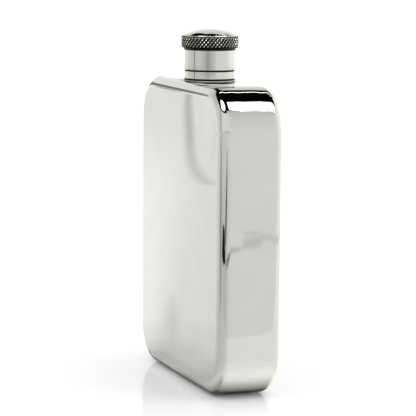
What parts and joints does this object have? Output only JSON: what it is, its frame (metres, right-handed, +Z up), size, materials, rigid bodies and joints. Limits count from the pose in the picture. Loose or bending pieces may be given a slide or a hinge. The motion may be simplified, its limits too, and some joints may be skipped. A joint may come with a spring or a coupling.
{
  "type": "hip flask",
  "caption": "Flat rectangular metal hip flask with rounded corners, a threaded neck and a knurled screw cap.",
  "frame": {"origin": "centre of the flat base, at floor level", "axes": "+X across the broad faces, towards the narrow side that the reference view sees; +Y through the thickness, with the front face towards -Y; +Z up the neck"},
  "size_m": [0.0902, 0.0238, 0.1273],
  "materials": {
    "body_steel": "polished",
    "neck_steel": "polished",
    "cap_steel": "polished",
    "insert_plastic": "satin",
    "seal_rubber": "satin"
  },
  "bodies": {
    "flask": {"front_shell": "body_steel", "rear_shell": "body_steel", "neck_tube": "neck_steel", "neck_collar": "neck_steel"},
    "seal": {"sealing_disc": "seal_rubber"},
    "cap": {"cap_shell": "cap_steel", "cap_dome": "cap_steel", "cap_thread_insert": "insert_plastic"}
  },
  "joints": [
    {"name": "cap_lift", "type": "slide", "parent": "flask", "child": "seal", "axis": [0, 0, 1], "range_m": [0, 0.01]},
    {"name": "cap_turn", "type": "hinge", "parent": "seal", "child": "cap", "pos_m": [0, 0, 0.11235], "axis": [0, 0, 1], "range_deg": [0, 1800]}
  ],
  "couplings": [
    {"joint": "cap_lift", "follows": "cap_turn", "m_per_rad": 0.00031831}
  ]
}
